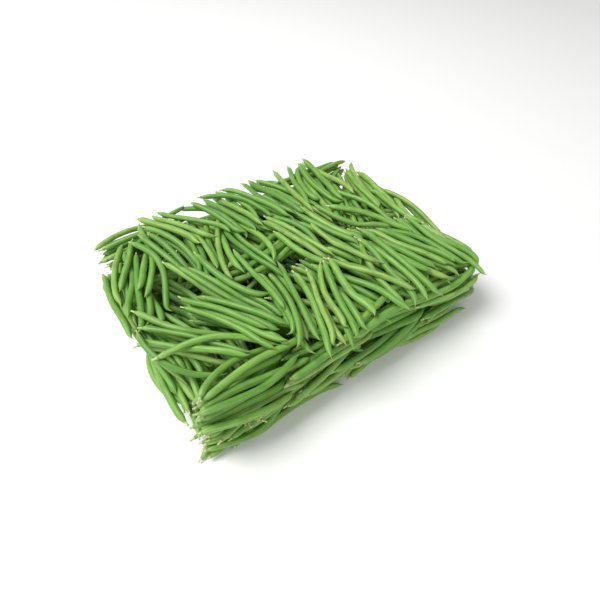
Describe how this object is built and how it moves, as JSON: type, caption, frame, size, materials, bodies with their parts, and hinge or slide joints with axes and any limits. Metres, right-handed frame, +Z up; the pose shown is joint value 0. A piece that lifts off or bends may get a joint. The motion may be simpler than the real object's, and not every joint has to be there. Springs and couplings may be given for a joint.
{
  "type": "green bean bundle",
  "caption": "Loose bundle of fine green beans lying together in crossed handfuls: a low block with rounded corners and a domed top, resting on its underside.",
  "frame": {"origin": "on the surface that the bundle rests on, under the middle of its outline", "axes": "+X along the bundle's long side, +Y across it, along which most pods lie, +Z up"},
  "size_m": [0.3563, 0.2682, 0.0869],
  "materials": {
    "lower_green": "fresh pod skin, satin",
    "upper_green": "fresh pod skin, satin"
  },
  "bodies": {
    "root": {"lower_beans": "lower_green", "upper_beans": "upper_green"}
  },
  "joints": []
}
